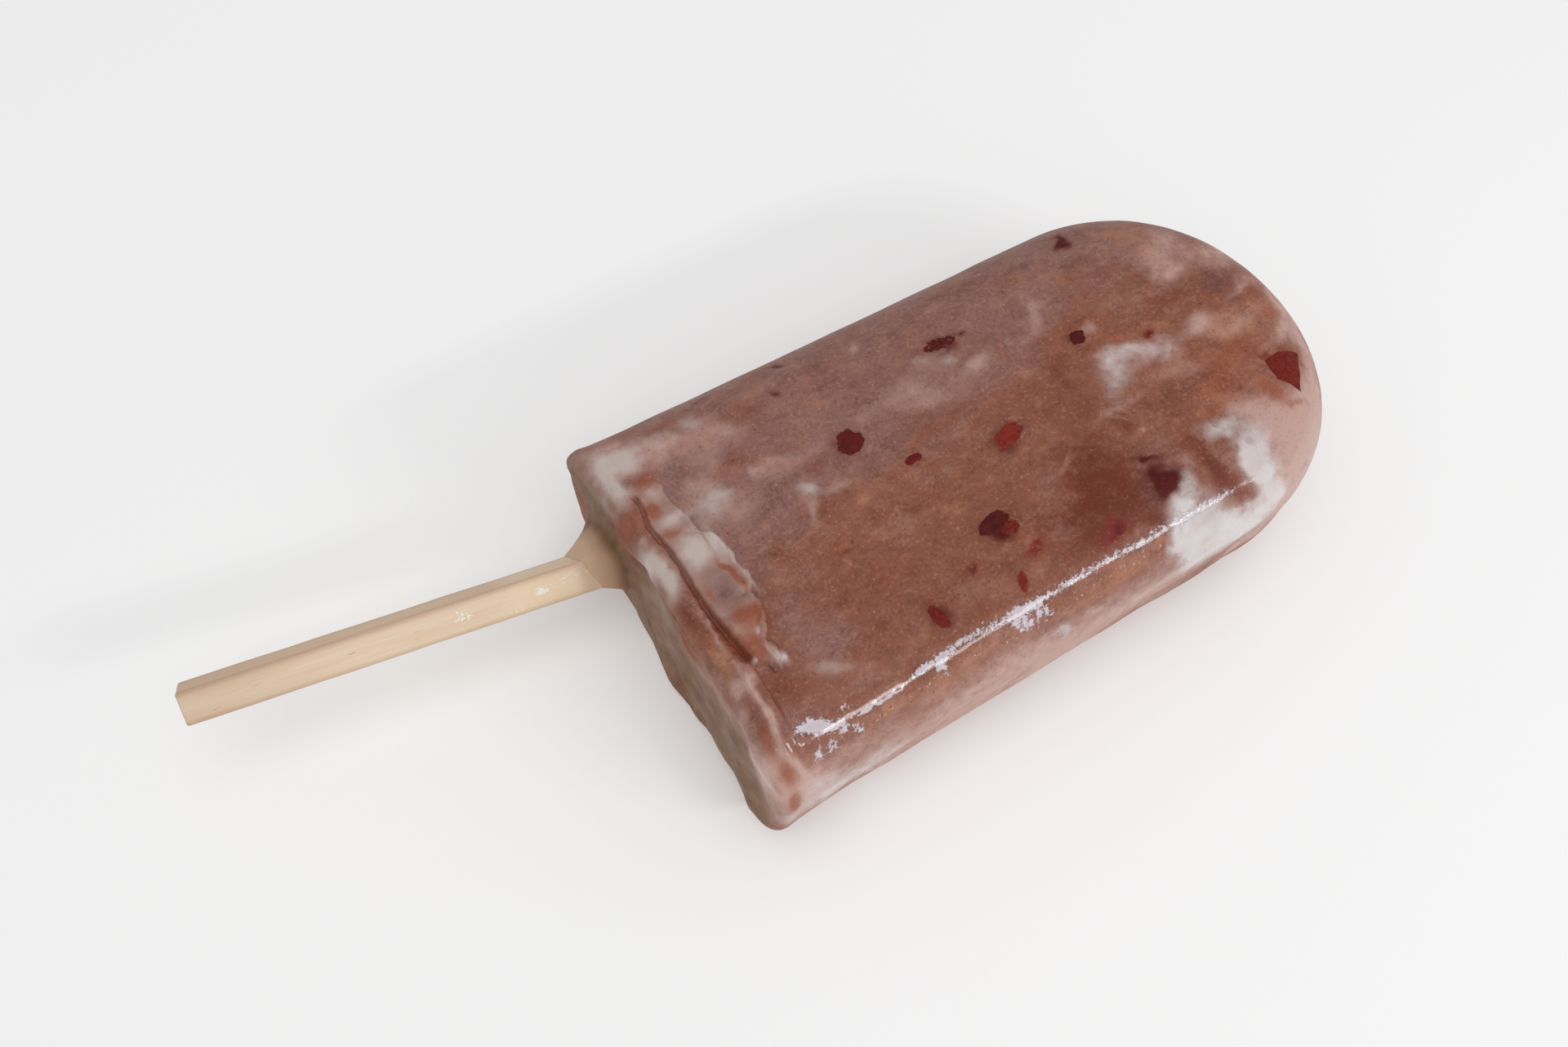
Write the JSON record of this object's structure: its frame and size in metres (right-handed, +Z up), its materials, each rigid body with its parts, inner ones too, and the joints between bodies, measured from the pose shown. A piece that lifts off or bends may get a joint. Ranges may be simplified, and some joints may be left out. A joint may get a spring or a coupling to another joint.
{
  "type": "ice pop",
  "caption": "Flat moulded ice pop with a round tip, marbled milk ice with red fruit, on a square wooden stick, lying on its flat back.",
  "frame": {"origin": "middle of the flat back that the bar lies on, halfway along the ice", "axes": "+X along the bar from the stick to the round tip, +Y across it, +Z up out of the shown flat face"},
  "size_m": [0.1428, 0.051, 0.0244],
  "materials": {
    "ice": "frozen milk, marbled rose brown and white, wet and frosty",
    "wood": "plain pale wood, unvarnished"
  },
  "bodies": {
    "root": {"ice_bar": "ice", "stick": "wood"}
  },
  "joints": []
}
